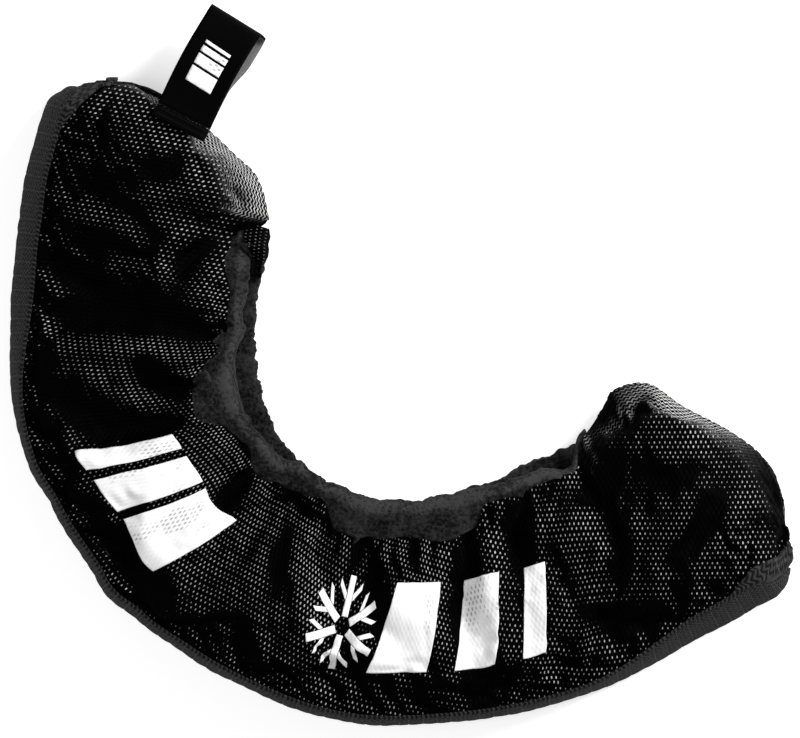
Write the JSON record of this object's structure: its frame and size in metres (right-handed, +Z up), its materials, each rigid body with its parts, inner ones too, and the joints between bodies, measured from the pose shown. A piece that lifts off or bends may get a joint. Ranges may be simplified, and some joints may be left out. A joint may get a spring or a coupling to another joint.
{
  "type": "skate blade cover",
  "caption": "Soft skate blade cover with webbing sole, woven walls closed into end hoods, fleece lining, gathered mouth and pull tab.",
  "frame": {"origin": "middle of the outline of the cover lying on its side, on the surface that it lies on", "axes": "+Z up from that surface towards the printed side, +X along the longest side of the outline, towards the toe end"},
  "size_m": [0.241, 0.2255, 0.0274],
  "materials": {
    "shell_nylon": "coarse woven nylon, black with light flecks",
    "fleece": "absorbent dark grey fleece",
    "sole_webbing": "ribbed dark grey webbing",
    "elastic_band": "woven elastic",
    "thread": "black polyester thread",
    "tab_ribbon": "black satin ribbon",
    "print_film": "white screen print"
  },
  "bodies": {
    "toe_half": {"near_panel_toe": "shell_nylon", "near_lining_toe": "fleece", "near_rim_toe": "fleece", "near_elastic_toe": "elastic_band", "near_seam_toe": "thread", "far_panel_toe": "shell_nylon", "far_lining_toe": "fleece", "far_rim_toe": "fleece", "far_elastic_toe": "elastic_band", "far_seam_toe": "thread", "sole_strip_toe": "sole_webbing", "sole_lining_toe": "fleece", "hood_seam_toe": "thread", "side_print_toe": "print_film"},
    "heel_half": {"near_panel_heel": "shell_nylon", "near_lining_heel": "fleece", "near_rim_heel": "fleece", "near_elastic_heel": "elastic_band", "near_seam_heel": "thread", "far_panel_heel": "shell_nylon", "far_lining_heel": "fleece", "far_rim_heel": "fleece", "far_elastic_heel": "elastic_band", "far_seam_heel": "thread", "sole_strip_heel": "sole_webbing", "sole_lining_heel": "fleece", "hood_seam_heel": "thread", "side_print_heel": "print_film", "tab_base": "tab_ribbon", "tab_bartack": "thread"},
    "pull_tab": {"tab_loop": "tab_ribbon", "tab_print": "print_film"}
  },
  "joints": [
    {"name": "uncurl", "type": "hinge", "parent": "toe_half", "child": "heel_half", "pos_m": [-0.06146, -0.09402, 0.012], "axis": [0, 0, 1], "range_deg": [0, 100], "stiffness_Nm_per_rad": 0.35},
    {"name": "tab_swing", "type": "hinge", "parent": "heel_half", "child": "pull_tab", "pos_m": [-0.06644, 0.07799, 0.02391], "axis": [0.891, -0.454, 0], "range_deg": [-10, 110], "stiffness_Nm_per_rad": 0.006}
  ]
}
